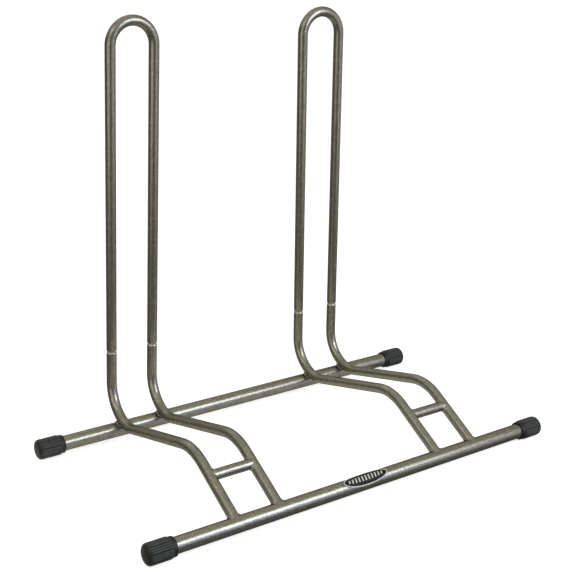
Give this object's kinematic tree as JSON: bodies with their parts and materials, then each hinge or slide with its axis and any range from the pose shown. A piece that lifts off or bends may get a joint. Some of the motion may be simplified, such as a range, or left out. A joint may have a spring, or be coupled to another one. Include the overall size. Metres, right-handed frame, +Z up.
{
  "type": "bike floor stand",
  "caption": "Free-standing tubular floor stand that holds bikes side by side by one wheel, with parallel base tubes, bent rails and tall lift-off wheel hoops.",
  "frame": {"origin": "on the floor, in the middle of the overall width and depth", "axes": "+X along the base tubes to the right, +Y to the rear where the hoops stand, +Z up"},
  "size_m": [0.782, 0.4286, 0.7092],
  "materials": {
    "gunmetal_steel": "warm grey metallic gloss",
    "black_rubber": "satin moulded",
    "dark_badge": "gloss"
  },
  "bodies": {
    "base_frame": {"front_base_tube": "gunmetal_steel", "rear_base_tube": "gunmetal_steel", "foot_cap_front_left": "black_rubber", "foot_cap_front_right": "black_rubber", "foot_cap_rear_left": "black_rubber", "foot_cap_rear_right": "black_rubber", "rail_left_outer": "gunmetal_steel", "rail_left_inner": "gunmetal_steel", "rail_right_inner": "gunmetal_steel", "rail_right_outer": "gunmetal_steel", "cross_strut_left": "gunmetal_steel", "cross_strut_right": "gunmetal_steel", "weld_front_left_outer": "gunmetal_steel", "weld_front_left_inner": "gunmetal_steel", "weld_front_right_inner": "gunmetal_steel", "weld_front_right_outer": "gunmetal_steel", "weld_rear_left_outer": "gunmetal_steel", "weld_rear_left_inner": "gunmetal_steel", "weld_rear_right_inner": "gunmetal_steel", "weld_rear_right_outer": "gunmetal_steel", "weld_strut_left_outer": "gunmetal_steel", "weld_strut_left_inner": "gunmetal_steel", "weld_strut_right_inner": "gunmetal_steel", "weld_strut_right_outer": "gunmetal_steel", "badge": "dark_badge"},
    "left_hoop": {"upper_hoop_left": "gunmetal_steel"},
    "right_hoop": {"upper_hoop_right": "gunmetal_steel"}
  },
  "joints": [
    {"name": "left_hoop_lift", "type": "slide", "parent": "base_frame", "child": "left_hoop", "axis": [0.0197, 0, 0.9998], "range_m": [0, 0.06]},
    {"name": "right_hoop_lift", "type": "slide", "parent": "base_frame", "child": "right_hoop", "axis": [-0.0197, 0, 0.9998], "range_m": [0, 0.06]}
  ]
}
